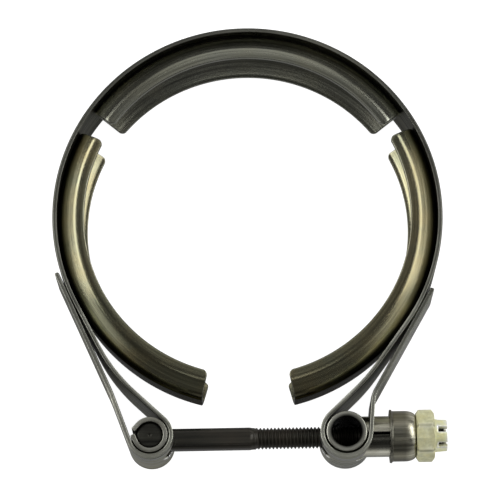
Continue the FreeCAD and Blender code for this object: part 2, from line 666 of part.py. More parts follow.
os.makedirs("parts", exist_ok=True)
for body in bodies:
    body.Shape.exportStep("parts/%s.step" % body.Label)
    print("%-15s volume %9.1f" % (body.Label, body.Shape.Volume))
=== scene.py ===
import math

import bpy
import numpy as np
from mathutils import Matrix, Vector


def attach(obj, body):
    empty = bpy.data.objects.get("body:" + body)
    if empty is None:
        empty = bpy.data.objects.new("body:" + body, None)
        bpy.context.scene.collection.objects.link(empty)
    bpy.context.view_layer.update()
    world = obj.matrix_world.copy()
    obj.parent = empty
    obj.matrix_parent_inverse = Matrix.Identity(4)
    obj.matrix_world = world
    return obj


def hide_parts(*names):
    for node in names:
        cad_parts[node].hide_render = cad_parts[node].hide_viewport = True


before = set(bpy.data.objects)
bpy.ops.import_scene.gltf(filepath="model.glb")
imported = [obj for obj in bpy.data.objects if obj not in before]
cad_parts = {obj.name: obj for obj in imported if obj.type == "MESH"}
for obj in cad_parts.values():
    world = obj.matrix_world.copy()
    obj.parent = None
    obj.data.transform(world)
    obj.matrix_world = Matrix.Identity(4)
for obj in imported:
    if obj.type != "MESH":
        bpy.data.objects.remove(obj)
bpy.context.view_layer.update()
mm = 0.001
print("frame loaded")

# what several pieces share
clamp = {
    "ring": 53.4,               # radius of the strip's middle on the ring
    "boltY": -61.2,             # the bolt's axis and, along it, the axes of both loops
    "leftLoop": -27.6,
    "rightLoop": 26.0,
    "halfWidth": 10.0,
}


def spread(stops, step):
    # evenly divides every stretch between two stops, with no part longer than step
    parts = [np.linspace(a, b, max(2, int(math.ceil((b - a) / step - 1e-6)) + 1))[:-1]
             for a, b in zip(stops[:-1], stops[1:]) if b - a > 1e-6]
    return np.concatenate(parts + [[stops[-1]]])


def rollOff(distance, radius):
    # how much a rounded edge lowers a surface: radius - sqrt(radius^2 - (radius - distance)^2)
    near = radius - np.clip(distance, 0, radius)
    return radius - np.sqrt(np.maximum(radius * radius - near * near, 0))


def smoothStep(x, low, high):
    # 0 below low, 1 above high, and 3t^2 - 2t^3 between them
    t = np.clip((x - low) / (high - low), 0, 1)
    return t * t * (3 - 2 * t)


def wallQuads(ids, keep, shift, wrap):
    # a quad from the first grid to the second wherever a kept cell borders a missing one,
    # turned so that it continues the faces on both sides
    k = np.pad(keep, 1)
    if wrap:
        k[0], k[-1] = k[-2], k[1]
    after, before, above, below = k[1:, 1:-1], k[:-1, 1:-1], k[1:-1, 1:], k[1:-1, :-1]
    quads = []
    for kept, missing, start, end in ((after, before, (0, 0), (0, 1)), (before, after, (0, 1), (0, 0)),
                                      (above, below, (1, 0), (0, 0)), (below, above, (0, 0), (1, 0))):
        i, j = np.nonzero(kept & ~missing)
        p, q = (ids[i + di, j + dj] for di, dj in (start, end))
        quads.append(np.stack([p, q, q + shift, p + shift], 1))
    return np.concatenate(quads)


def closedGrid(nu, nv):
    # a face for every cell of a grid that meets itself both ways, and the ids of its points with
    # the last row and column sent to the first
    ids = np.arange(nu * nv).reshape(nu, nv)
    quads = np.stack([ids[:-1, :-1], ids[1:, :-1], ids[1:, 1:], ids[:-1, 1:]], 2).reshape(-1, 4)
    seam = ids.copy()
    seam[-1] = seam[0]
    seam[:, -1] = seam[:, 0]
    return quads, seam.reshape(-1)


def buildMesh(name, points, quads, lay, rim, seam=None, shade=None):
    # points and quads become a mesh; lay is its UV map, rim the distance to a free edge and shade
    # a painted light factor on the base colour, painted shade below 1 and painted highlight above 1.
    # seam sends the ids of a repeated column to those of the first
    corners = quads.reshape(-1)
    uv = lay[corners]
    if seam is not None:
        corners = seam[corners]
    used, corners = np.unique(corners, return_inverse=True)
    mesh = bpy.data.meshes.new(name)
    mesh.vertices.add(len(used))
    mesh.vertices.foreach_set("co", (points[used] * mm).astype(np.float32).reshape(-1))
    mesh.loops.add(len(corners))
    mesh.loops.foreach_set("vertex_index", corners.astype(np.int32))
    mesh.polygons.add(len(quads))
    mesh.polygons.foreach_set("loop_start", np.arange(0, len(corners), 4, dtype=np.int32))
    mesh.polygons.foreach_set("use_smooth", np.ones(len(quads), bool))
    mesh.update(calc_edges=True)
    layer = mesh.uv_layers.new(name="lay")
    layer.data.foreach_set("uv", (uv * 0.01).astype(np.float32).reshape(-1))
    edge = mesh.attributes.new("rim", "FLOAT", "POINT")
    edge.data.foreach_set("value", rim[used].astype(np.float32))
    # painted light per point: painted shade where below 1, painted highlight where above 1
    paintedLight = np.ones(len(points)) if shade is None else shade
    paintedLightLayer = mesh.attributes.new("shade", "FLOAT", "POINT")
    paintedLightLayer.data.foreach_set("value", paintedLight[used].astype(np.float32))
    mesh.validate()
    piece = bpy.data.objects.new(name, mesh)
    bpy.context.scene.collection.objects.link(piece)
    return piece


def plate(name, outer, inner, lay, rim, keep=None, wrap=False, shade=(1.0, 1.0)):
    # bent sheet: two grids of points over the same two parameters, a face for every kept cell on
    # each, and walls between them along every free edge. shade is given for both grids
    nu, nv = outer.shape[:2]
    if keep is None:
        keep = np.ones((nu - 1, nv - 1), bool)
    ids = np.arange(nu * nv).reshape(nu, nv)
    i, j = np.nonzero(keep)
    top = np.stack([ids[i, j], ids[i + 1, j], ids[i + 1, j + 1], ids[i, j + 1]], 1)
    shift = nu * nv
    quads = np.concatenate([top, top[:, ::-1] + shift, wallQuads(ids, keep, shift, wrap)])
    points = np.concatenate([outer.reshape(-1, 3), inner.reshape(-1, 3)])
    both = np.concatenate([lay.reshape(-1, 2)] * 2)
    rims = np.concatenate([rim.reshape(-1)] * 2)
    shades = np.concatenate([np.broadcast_to(part, rim.shape).reshape(-1) for part in shade])
    seam = None
    if wrap:
        closed = ids.copy()
        closed[-1] = closed[0]
        seam = np.concatenate([closed.reshape(-1), closed.reshape(-1) + shift])
    return buildMesh(name, points, quads, both, rims, seam, shades)


def turned(name, radius, along, place, turns, lay, rim, bump=None, shade=None):
    # surface of revolution about a line parallel to X: a closed outline of radii and places along
    # the line is carried round, and bump works both out anew from the angle and the outline
    angle = np.linspace(0, 2 * math.pi, turns + 1)
    r = np.repeat(radius[None], turns + 1, 0)
    x = np.repeat(along[None], turns + 1, 0)
    if bump is not None:
        r, x = bump(angle[:, None], r, x)
    points = np.stack([x + place[0], place[1] + r * np.cos(angle)[:, None],
                       place[2] + r * np.sin(angle)[:, None]], 2)
    nu, nv = r.shape
    quads, seam = closedGrid(nu, nv)
    uv = np.stack([np.repeat(lay[None], turns + 1, 0),
                   np.repeat((angle * np.mean(radius))[:, None], nv, 1)], 2)
    rims = np.repeat(rim[None], turns + 1, 0)
    shades = None if shade is None else np.repeat(shade[None], turns + 1, 0).reshape(-1)
    return buildMesh(name, points.reshape(-1, 3), quads, uv.reshape(-1, 2), rims.reshape(-1),
                     seam, shades)


def finished(piece, material, body, nodes):
    # gives a piece its material, the body it moves with and the solids it stands for
    piece.data.materials.append(material)
    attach(piece, body)
    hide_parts(*nodes)


# materials
def steel(name, look):
    # metal whose tone follows noise drawn out along the rolling direction, softer patches, a worn
    # brighter rim along free edges and fine scratches in the bump; the shade attribute then scales the
    # tone as painted shade and painted highlight
    material = bpy.data.materials.new(name)
    material.use_nodes = True
    tree = material.node_tree
    nodes, links = tree.nodes, tree.links
    shader = nodes["Principled BSDF"]
    shader.inputs["Metallic"].default_value = look["metallic"]
    shader.inputs["Specular Tint"].default_value = (*[look["grazing"]] * 3, 1)

    def node(kind, **values):
        made = nodes.new(kind)
        for key, value in values.items():
            if key in made.inputs:
                made.inputs[key].default_value = value
            else:
                setattr(made, key, value)
        return made

    def noise(vector, scale, detail, distortion=0.0):
        made = node("ShaderNodeTexNoise", Scale=scale, Detail=detail, Distortion=distortion)
        made.inputs["Roughness"].default_value = 0.6
        links.new(vector, made.inputs["Vector"])
        return made.outputs["Fac"]

    def stretched(source, scale):
        made = node("ShaderNodeMapping")
        made.inputs["Scale"].default_value = scale
        links.new(source, made.inputs["Vector"])
        return made.outputs["Vector"]

    def remap(value, low, high, outLow, outHigh):
        made = node("ShaderNodeMapRange")
        links.new(value, made.inputs["Value"])
        for key, number in (("From Min", low), ("From Max", high), ("To Min", outLow), ("To Max", outHigh)):
            made.inputs[key].default_value = number
        return made.outputs["Result"]

    def mixed(factor, first, second):
        made = node("ShaderNodeMix", data_type="RGBA")
        links.new(factor, made.inputs["Factor"])
        for socket, value in ((made.inputs[6], first), (made.inputs[7], second)):
            if isinstance(value, tuple):
                socket.default_value = value
            else:
                links.new(value, socket)
        return made.outputs[2]

    def sumOf(a, b, operation="ADD"):
        made = node("ShaderNodeMath", operation=operation)
        for socket, value in ((made.inputs[0], a), (made.inputs[1], b)):
            if isinstance(value, (int, float)):
                socket.default_value = value
            else:
                links.new(value, socket)
        return made.outputs[0]

    uv = node("ShaderNodeUVMap", uv_map="lay").outputs["UV"]
    place = node("ShaderNodeTexCoord").outputs["Object"]
    rim = node("ShaderNodeAttribute", attribute_name="rim").outputs["Fac"]
    streaks = noise(stretched(uv, look["streak"]), 1.0, 6.0)
    bands = noise(stretched(uv, look["band"]), 1.0, 3.0)
    fine = noise(stretched(uv, look["scratch"]), 1.0, 4.0)
    patches = noise(place, look["patch"], 4.0, 0.4)
    pits = noise(place, look["pits"], 2.0)
    tone = mixed(remap(streaks, 0.32, 0.68, 0.0, 1.0), look["dark"], look["light"])
    tone = mixed(remap(patches, 0.38, 0.66, 0.0, look["warmth"]), tone, look["warm"])
    worn = sumOf(remap(rim, 0.0, look["rimWidth"], 1.0, 0.0), remap(fine, 0.35, 0.6, 0.25, 1.0), "MULTIPLY")
    tone = mixed(sumOf(worn, look["wear"], "MULTIPLY"), tone, look["bare"])
    # painted light: the tone is scaled by the shade attribute, painted shade below 1 and painted highlight
    # above 1
    paintedLight = node("ShaderNodeVectorMath", operation="SCALE")
    links.new(tone, paintedLight.inputs[0])
    shade = node("ShaderNodeAttribute", attribute_name="shade").outputs["Fac"]
    links.new(sumOf(shade, remap(bands, 0.36, 0.64, *look["bandTone"]), "MULTIPLY"), paintedLight.inputs["Scale"])
    limit = node("ShaderNodeVectorMath", operation="MINIMUM")
    limit.inputs[1].default_value = (look["brightest"],) * 3
    links.new(paintedLight.outputs["Vector"], limit.inputs[0])
    links.new(limit.outputs["Vector"], shader.inputs["Base Color"])
    rough = sumOf(remap(streaks, 0.3, 0.7, look["rough"] - look["roughSpread"],
                        look["rough"] + look["roughSpread"]),
                  remap(patches, 0.35, 0.7, 0.0, look["roughSpread"]))
    links.new(rough, shader.inputs["Roughness"])
    height = sumOf(sumOf(fine, look["scratchDepth"], "MULTIPLY"), sumOf(pits, look["pitDepth"], "MULTIPLY"))
    bump = node("ShaderNodeBump", Strength=1.0, Distance=mm)
    links.new(height, bump.inputs["Height"])
    links.new(bump.outputs["Normal"], shader.inputs["Normal"])
    return material


def look(dark, light, warm, bare, rough, **changes):
    # settings of one finish: tones are linear colours, streak, band and scratch are how often noise
    # repeats along and across the piece, grazing is the white sheen at flat angles and brightest
    # the most that the base colour may reach
    values = {
        "dark": (*dark, 1), "light": (*light, 1), "warm": (*warm, 1), "bare": (*bare, 1),
        "rough": rough, "roughSpread": 0.07, "warmth": 0.6, "wear": 0.7, "rimWidth": 0.5,
        "streak": (2.0, 130.0, 1.0), "scratch": (12.0, 900.0, 1.0), "patch": 70.0, "pits": 900.0,
        "scratchDepth": 0.012, "pitDepth": 0.008, "band": (1.2, 30.0, 1.0), "bandTone": (0.8, 1.15),
        "metallic": 1.0, "grazing": 1.0, "brightest": 0.9,
    }
    values.update(changes)
    return values


bandSteel = steel("bandSteel", look(
    (0.060, 0.062, 0.050), (0.21, 0.212, 0.178), (0.15, 0.137, 0.098), (0.26, 0.262, 0.23), 0.27,
    warmth=0.4, wear=0.55, bandTone=(0.6, 1.4), grazing=0.4))
retainerSteel = steel("retainerSteel", look(
    (0.10, 0.102, 0.068), (0.25, 0.246, 0.165), (0.25, 0.20, 0.10), (0.32, 0.32, 0.26), 0.19,
    roughSpread=0.05, warmth=0.5, grazing=0.3))
topSteel = steel("topSteel", look(
    (0.095, 0.098, 0.080), (0.25, 0.253, 0.21), (0.20, 0.19, 0.135), (0.32, 0.325, 0.28), 0.21,
    roughSpread=0.05, warmth=0.4))
sleeveSteel = steel("sleeveSteel", look(
    (0.08, 0.081, 0.067), (0.22, 0.22, 0.18), (0.18, 0.165, 0.12), (0.42, 0.42, 0.37), 0.27))
boltBlack = steel("boltBlack", look(
    (0.009, 0.0088, 0.006), (0.028, 0.026, 0.019), (0.042, 0.031, 0.020), (0.16, 0.15, 0.13), 0.36,
    metallic=0.5, warmth=0.4))
# a darker copy of boltBlack for the head: painted shade, since the head sits deep in the sleeve
headPaintedShade = steel("headPaintedShade", look(
    (0.003, 0.003, 0.002), (0.010, 0.0098, 0.0065), (0.014, 0.012, 0.007), (0.08, 0.08, 0.07), 0.42,
    metallic=0.9, warmth=0.3, bandTone=(0.3, 1.6)))
trunnionSteel = steel("trunnionSteel", look(
    (0.09, 0.091, 0.075), (0.22, 0.22, 0.185), (0.18, 0.165, 0.12), (0.42, 0.42, 0.37), 0.27,
    grazing=0.0))
tubeSteel = steel("tubeSteel", look(
    (0.26, 0.258, 0.21), (0.64, 0.63, 0.54), (0.2, 0.18, 0.12), (0.45, 0.44, 0.38), 0.24,
    bandTone=(0.7, 1.4)))
capSteel = steel("capSteel", look(
    (0.08, 0.079, 0.062), (0.26, 0.255, 0.205), (0.22, 0.195, 0.13), (0.45, 0.44, 0.38), 0.29,
    bandTone=(0.65, 1.3), wear=0.3))
nutZinc = steel("nutZinc", look(
    (0.54, 0.54, 0.33), (0.84, 0.83, 0.57), (0.63, 0.59, 0.30), (0.97, 0.97, 0.82), 0.40,
    warmth=0.75, metallic=0.55, patch=420.0, streak=(60.0, 60.0, 1.0), bandTone=(0.85, 1.1),
    band=(20.0, 20.0, 1.0)))
print("materials made")

# outer strip
strip = {
    "thick": 1.2,
    "outerRoll": 0.5,           # rounding of the slit edges on the ring's outside
    "innerRoll": 0.12,
    "leftRuns": [(108.6719, -53.4), (13.7625, 0), (16.5809, -47.0), (11.057, 0),
                 (20.755, 5.75), (14.2536, 0), (1.4923, -23.0), (35.7422, 0)],
    "rightRuns": [(117.7123, -53.4), (13.9284, 0), (9.2685, -50.0), (9.7467, 0),
                  (25.3469, 6.55), (9.4974, 0), (2.1704, -5.0), (32.861, 0)],
    # slots: from and to along the strip, most half height and radius about the bolt's axis
    "slots": [(-160.54, -149.11, 3.25, 4.85), (150.05, 162.03, 3.6, 5.2), (168.9, 182.5, 5.9, 5.9)],
    "slotTip": 0.4,
    "rowHalf": 3.4,             # half height of the slots' rows where there is no slot
    "rowBlend": (0.4, 6.0),     # distance from a slot over which the rows go back to it
    "closeRows": [(-171, -149), (149, 184)],
    # welds: angles round the ring, distance of the strap's welds from its left and right tip
    "weldAngles": (49, 75, 102, 129, 163, 190, 15, -12), "strapWelds": (6.9, 6.4), "weldApart": 5.2,
    "weldRadius": 2.1, "weldDepth": 0.13,
    # where the ring ends, the loops begin and end and the straps begin, along the strip
    "ringTo": (108, 114), "loopFrom": (138, 150), "loopTo": (178, 190), "strapFrom": (190, 200),
    # painted light as tone factors: painted shade on the slit edges outside and inside, painted
    # reflections on the loops' edges and walls, painted highlights on the legs and straps, on the
    # ring's inside and outside and on the right strap
    "outerEdge": 0.3, "innerEdge": 0.65, "loopEdge": 2.3, "loopWall": 6.5, "legs": 2.8,
    "inside": 1.3, "outside": 1.6, "rightStrap": 2.6,
}


def runPoint(runs, distance, start):
    # place and heading after a distance along runs of arcs and straights: each run adds
    # r (sin(h + d / r) - sin h) and -r (cos(h + d / r) - cos h), or d cos h and d sin h
    x, y, h = np.zeros_like(distance), np.full_like(distance, start), np.zeros_like(distance)
    begun = 0.0
    for length, radius in runs:
        d = np.clip(distance - begun, 0, length)
        if radius:
            x += radius * (np.sin(h + d / radius) - np.sin(h))
            y -= radius * (np.cos(h + d / radius) - np.cos(h))
            h += d / radius
        else:
            x += d * np.cos(h)
            y += d * np.sin(h)
        begun += length
    return x, y, h


def stripLine(t):
    # middle line of the whole strip, with t from the left tip to the right tip and 0 on top
    side = np.where(t < 0, -1.0, 1.0)
    left = runPoint(strip["leftRuns"], np.abs(t), clamp["ring"])
    right = runPoint(strip["rightRuns"], np.abs(t), clamp["ring"])
    x, y, h = (np.where(t < 0, a, b) for a, b in zip(left, right))
    return np.stack([side * x, y], 1), np.stack([-side * np.sin(h), np.cos(h)], 1)


def dimples(t, w, spots, radius, depth):
    # resistance welds: a flat bowl exp(-(r / radius)^6) with a faint raised ring round it
    height = np.zeros(np.broadcast(t, w).shape)
    for spotT, spotW in spots:
        r = np.hypot(t - spotT, w - spotW) / radius
        height -= depth * np.exp(-r ** 6) - depth * 0.25 * np.exp(-((r - 1.15) / 0.14) ** 2)
    return height


def makeStrip():
    # a sheet along the middle line: rows run along the strip and bend round the slots
    leftEnd = -sum(length for length, radius in strip["leftRuns"])
    rightEnd = sum(length for length, radius in strip["rightRuns"])
    ringWelds = [(math.radians(90 - a) * clamp["ring"], 0.0) for a in strip["weldAngles"]]
    touches = leftEnd + strip["strapWelds"][0], rightEnd - strip["strapWelds"][1]
    strapWelds = [(touch, side * strip["weldApart"]) for touch in touches for side in (-1, 1)]
    fine = np.array([0, 0.02, 0.06, 0.13, 0.22, 0.34, 0.5])
    stops = [leftEnd + f for f in fine] + [rightEnd - f for f in fine]
    for low, high, tall, radius in strip["slots"]:
        bends = radius * (1 - np.cos(np.radians(np.arange(0, 81, 10))))
        stops += list(low - fine) + list(high + fine) + list(low + bends) + list(high - bends)
    stops = np.array(sorted(stops))
    t = spread(stops, 1.6)
    extra = np.concatenate([np.arange(s - 3.2, s + 3.2, 0.4) for s, w in ringWelds + strapWelds]
                           + [np.arange(low, high, 0.45) for low, high in strip["closeRows"]])
    extra = extra[(extra > leftEnd + 0.4) & (extra < rightEnd - 0.4)]
    t = np.unique(np.round(np.concatenate([t, extra]), 3))
    t = t[np.concatenate([[True], np.diff(t) > 0.012])]

    # half height that the rows round a slot follow: sqrt(radius^2 - height above the bolt's
    # axis^2), no more than the slot's most
    line, normal = stripLine(t)
    half = np.full(len(t), strip["rowHalf"])
    inSlot = np.zeros(len(t), bool)
    cellInSlot = np.zeros(len(t) - 1, bool)
    slotGap = np.full(len(t), 9.0)
    middle = (t[1:] + t[:-1]) / 2
    for low, high, tall, radius in strip["slots"]:
        inside = np.minimum(t - low, high - t)
        rise = np.interp(np.clip(t, low, high), t, line[:, 1]) - clamp["boltY"]
        shape = np.clip(np.sqrt(np.maximum(radius ** 2 - rise ** 2, 0)), strip["slotTip"], tall)
        outside = np.maximum(-inside, 0)
        blend = smoothStep(outside, *strip["rowBlend"])
        near = outside < strip["rowBlend"][1]
        half = np.where(near & ((inside >= 0) | ~inSlot), shape * (1 - blend) + half * blend, half)
        inSlot |= inside > -1e-6
        slotGap = np.minimum(slotGap, outside)
        cellInSlot |= (middle > low) & (middle < high)

    edge = clamp["halfWidth"]
    share = np.linspace(0, 1, 13)[1:-1]
    inner = np.linspace(0, 1, 8)[:-1]
    # rows above the middle: inside the slot, beside its edge, across, and at the slit edge
    rows = [half * g for g in inner] + [half + f for f in fine[:-1]]
    rows += [half + fine[-1] + (edge - half - 2 * fine[-1]) * s for s in [0, *share, 1]]
    rows += [np.full(len(t), edge - f) for f in fine[:-1][::-1]]
    upper = np.stack(rows, 1)
    w = np.concatenate([-upper[:, :0:-1], upper], 1)
    columns, first = upper.shape[1], len(inner)
    keep = np.ones((len(t) - 1, w.shape[1] - 1), bool)
    keep[cellInSlot, (columns - 1 - first):(columns - 1 + first)] = False

    # distance to the nearest free edge
    ends = np.minimum(t - leftEnd, rightEnd - t)[:, None]
    aside = np.maximum(np.abs(w) - half[:, None], 0)
    toSlot = np.where(inSlot[:, None], aside, np.hypot(slotGap[:, None], aside))
    rim = np.minimum(np.minimum(edge - np.abs(w), ends), toSlot)
    ringDents = dimples(t[:, None], w, ringWelds, strip["weldRadius"], strip["weldDepth"])
    strapDents = dimples(t[:, None], w, strapWelds, strip["weldRadius"], strip["weldDepth"])
    out = strip["thick"] / 2 - rollOff(rim, strip["outerRoll"]) + ringDents
    back = strip["thick"] / 2 - rollOff(rim, strip["innerRoll"]) + strapDents
    base = np.concatenate([line, np.zeros((len(t), 1))], 1)[:, None, :] * np.ones((1, w.shape[1], 1))
    base[:, :, 2] = w
    away = np.concatenate([normal, np.zeros((len(t), 1))], 1)[:, None, :]
    outer = base + away * out[:, :, None]
    innerSide = base - away * back[:, :, None]
    lay = np.stack([np.repeat(t[:, None], w.shape[1], 1), w], 2)
    # painted shade darkens the slit edges beyond the loops, most of all on the outer side; painted
    # reflections brighten the loops and painted highlights the legs, straps and ring
    far = np.abs(t)[:, None]
    ring = 1 - smoothStep(far, *strip["ringTo"])
    loops = smoothStep(far, *strip["loopFrom"]) - smoothStep(far, *strip["loopTo"])
    rightStrap = smoothStep(t, *strip["strapFrom"])[:, None]
    slit = smoothStep(np.abs(w), edge - 0.6, edge - 0.05)
    shared = 1 + (strip["legs"] - 1) * (1 - ring - loops)
    paintedEdgeShade = slit * (1 - loops)
    paintedLoopSheen = loops * (strip["loopWall"] - 1 + slit * (strip["loopEdge"] - strip["loopWall"]))
    outShade = (shared + (strip["outside"] - 1) * ring) * (1 - paintedEdgeShade * (1 - strip["outerEdge"]))
    inShade = (shared + (strip["inside"] - 1) * ring) * (1 + paintedLoopSheen - paintedEdgeShade * (1 - strip["innerEdge"]))
    # painted highlight on the right strap's outer face
    inShade *= 1 + (strip["rightStrap"] - 1) * rightStrap * (1 - slit)
    return plate("strip", innerSide, outer, lay, rim, keep, shade=(inShade, outShade))


finished(makeStrip(), bandSteel, "band", ["outer_band"])
print("strip made")

# V retainers
retainer = {
    "root": 52.8, "lip": 45.25, "half": 9.8, "thick": 1.2,
    # slope of the rolled section from the lip inwards, as distance along it and degrees
    "upper": [(0, 3), (1.8, 5), (3.35, 29), (6.3, 34)],
    "lower": [(0, 3), (0.4, 6), (1.8, 28), (5.7, 32)],
    "corner": 1.6, "outerRoll": 0.3, "innerRoll": 0.22,
    # painted light, from one radius to the next: painted highlight on the legs' slopes, and on the
    # root's back painted light on the top piece and painted shade on the side pieces
    "paintedShoulderLight": 1.4, "paintedBackLight": {"retainerTop": 3.0, "retainerLeft": 0.35, "retainerRight": 0.35},
    "shadeRadii": [48.6, 49.8, 50.8, 51.6],
    "turnRadius": 49.0,         # where lengths round the ring are measured
    # middle angle, span, mitre of the ends in degrees, and the solid
    "places": {"retainerTop": (88.9, 107.4, 9.3, "retainer_top"),
               "retainerLeft": (203.3, 104.0, 0.0, "retainer_left"),
               "retainerRight": (-24.2, 105.0, 0.0, "retainer_right")},
    "finish": {"retainerTop": topSteel},
}


def legLine(knots):
    # outer side of one leg and its bend from the lip to the middle of the root. With the slope a
    # at distance s, radius is lip + sum of cos a ds and height is half - sum of sin a ds; the bend
    # is an arc of the radius that ends at the root
    known, slopes = np.array(knots, float).T
    slopes = np.radians(slopes)
    dense = np.linspace(0, known[-1], 300)
    steps = np.diff(dense)
    a = np.interp(dense, known, slopes)
    middle = (a[1:] + a[:-1]) / 2
    r = retainer["lip"] + np.concatenate([[0], np.cumsum(np.cos(middle) * steps)])
    z = retainer["half"] - np.concatenate([[0], np.cumsum(np.sin(middle) * steps)])
    s = np.concatenate([[0, 0.02, 0.06, 0.12, 0.2, 0.3, 0.5, 0.8, 1.2, 1.55],
                        np.arange(1.75, 3.1, 0.12), np.linspace(3.2, known[-1], 5)])
    bend = (retainer["root"] - r[-1]) / (1 - math.sin(slopes[-1]))
    arcs = np.linspace(slopes[-1], math.pi / 2, 12)[1:]
    arcR = r[-1] + bend * (np.sin(arcs) - math.sin(slopes[-1]))
    arcZ = z[-1] - bend * (math.cos(slopes[-1]) - np.cos(arcs))
    wallZ = arcZ[-1] * np.linspace(1, 0, 5)[1:]
    radius = np.concatenate([np.interp(s, dense, r), arcR, np.full(4, retainer["root"])])
    height = np.concatenate([np.interp(s, dense, z), arcZ, wallZ])
    slope = np.concatenate([np.interp(s, known, slopes), arcs, np.full(4, math.pi / 2)])
    distance = np.concatenate([s, s[-1] + bend * (arcs - slopes[-1]),
                               s[-1] + bend * (math.pi / 2 - slopes[-1]) + arcZ[-1] - wallZ])
    return radius, height, slope, distance


def retainerSection():
    # both legs joined at the middle of the root: points on the outer side, directions away from
    # the sheet, and distances from the nearer lip
    upper, lower = legLine(retainer["upper"]), legLine(retainer["lower"])
    outer = np.concatenate([np.stack([lower[0], -lower[1]], 1), np.stack(upper[:2], 1)[-2::-1]])
    away = np.concatenate([np.stack([np.sin(lower[2]), -np.cos(lower[2])], 1),
                           np.stack([np.sin(upper[2]), np.cos(upper[2])], 1)[-2::-1]])
    return outer, away, np.concatenate([lower[3], upper[3][-2::-1]])


def makeRetainer(name, angle, span, mitre, node):
    # the section carried along an arc; rows near a lip end early by the quarter circle
    # corner - sqrt(corner^2 - (corner - distance)^2), which rounds the lip's corners. A mitred end
    # reaches further by height * tan(mitre)
    outer, away, distance = retainerSection()
    radius = retainer["turnRadius"]
    halfSpan = math.radians(span / 2) * radius
    fine = np.array([0, 0.02, 0.06, 0.12, 0.2, 0.3])
    u = spread([*(-halfSpan + fine), *(halfSpan - fine)[::-1]], 0.9)
    reach = outer[:, 1] * math.tan(math.radians(mitre)) - rollOff(distance, retainer["corner"])
    turn = math.radians(angle) + u[:, None] / radius * (1 + reach / halfSpan)[None]
    ends = (halfSpan - np.abs(u))[:, None] * np.ones((1, len(distance)))
    rim = np.minimum(ends, distance[None])
    out = -rollOff(rim, retainer["outerRoll"])
    back = rollOff(rim, retainer["innerRoll"]) - retainer["thick"]

    def placed(offset):
        r = outer[None, :, 0] + away[None, :, 0] * offset
        z = outer[None, :, 1] + away[None, :, 1] * offset
        return np.stack([r * np.cos(turn), r * np.sin(turn), z], 2)

    across = np.concatenate([[0], np.cumsum(np.linalg.norm(np.diff(outer, axis=0), axis=1))])
    lay = np.stack([np.repeat((u + angle)[:, None], len(across), 1),
                    np.repeat(across[None] + angle, len(u), 0)], 2)
    shoulder, behind = retainer["paintedShoulderLight"], retainer["paintedBackLight"][name]
    # painted highlight on the slopes, painted light and painted shade on the root's back
    shade = np.interp(outer[None, :, 0], retainer["shadeRadii"], [1, shoulder, shoulder, behind])
    piece = plate(name, placed(out), placed(back), lay, rim, shade=(shade, 1.0))
    finished(piece, retainer["finish"].get(name, retainerSteel), "band", [node])


for pieceName, place in retainer["places"].items():
    makeRetainer(pieceName, *place)
print("retainers made")

# sleeve round the bolt's head
sleeve = {
    "radius": 4.9, "wall": 1.3, "half": 9.7, "endAngle": 147.0, "endLength": 2.0, "turn": 9.0,
    "slotHalf": 3.25, "slotAngle": 43.0, "roll": 0.25,
}


def makeSleeve():
    # rolled wall: an arc about the loop's axis with a straight at each end, carried along Z
    mid = sleeve["radius"] - sleeve["wall"] / 2
    arc = math.radians(sleeve["endAngle"]) * mid
    end = arc + sleeve["endLength"]
    slot = math.radians(sleeve["slotAngle"]) * mid
    fine = np.array([0, 0.02, 0.06, 0.12, 0.18, 0.25])
    stops = sorted([*(-end + fine), *(end - fine), *(-slot - fine), *(slot + fine), -arc, arc])
    u = spread(stops, 0.4)
    h, half = sleeve["slotHalf"], sleeve["half"]
    upper = np.concatenate([np.linspace(0, h, 5)[:-1], h + fine,
                            np.linspace(h + 0.25, half - 0.25, 9)[1:-1], (half - fine)[::-1]])
    w = np.concatenate([-upper[:0:-1], upper])
    angle = np.clip(u, -arc, arc) / mid
    beyond = u - np.clip(u, -arc, arc)
    outward = np.stack([np.cos(angle), np.sin(angle)], 1)
    onward = np.stack([-np.sin(angle), np.cos(angle)], 1)
    line = outward * mid + onward * beyond[:, None]
    turn = -math.radians(sleeve["turn"])
    spin = np.array([[math.cos(turn), math.sin(turn)], [-math.sin(turn), math.cos(turn)]])
    line, outward = line @ spin, outward @ spin
    centreU, centreW = (u[1:] + u[:-1]) / 2, (w[1:] + w[:-1]) / 2
    keep = ~((np.abs(centreU) < slot)[:, None] & (np.abs(centreW) < h)[None])
    aside = np.maximum(np.abs(u) - slot, 0)[:, None]
    above = np.maximum(np.abs(w) - h, 0)[None]
    rim = np.minimum(np.minimum(end - np.abs(u), 9)[:, None], (half - np.abs(w))[None])
    rim = np.minimum(rim, np.hypot(aside, above))
    offset = sleeve["wall"] / 2 - rollOff(rim, sleeve["roll"])

    def placed(distance):
        xy = line[:, None] + outward[:, None] * distance[:, :, None]
        z = np.repeat(w[None], len(u), 0)
        return np.stack([xy[:, :, 0] + clamp["leftLoop"], xy[:, :, 1] + clamp["boltY"], z], 2)

    lay = np.stack([np.repeat(u[:, None], len(w), 1), np.repeat(w[None], len(u), 0)], 2)
    return plate("boltSleeve", placed(offset), placed(-offset), lay, rim, keep)


finished(makeSleeve(), sleeveSteel, "bolt", ["bolt_sleeve"])

# T bolt
bolt = {
    # square shank; power sets how round its corners are, and its upper and lower sides stand out
    # by taller, which grows along tallRun
    "start": -25.6, "square": 5.3, "corner": 0.9, "power": 22.0, "taller": 0.3, "tallFrom": -23.0,
    "tallRun": 1.5,
    # thread; neck is the length that turns the square round, runIn where the thread gets deep
    "threadStart": 0.8, "end": 52.9, "major": 3.0, "minor": 2.48, "pitch": 1.0, "neck": 1.3,
    "runIn": (-0.4, 1.6),
    "headRadius": 3.48, "headHalf": 8.8, "headEdge": 0.5,
}


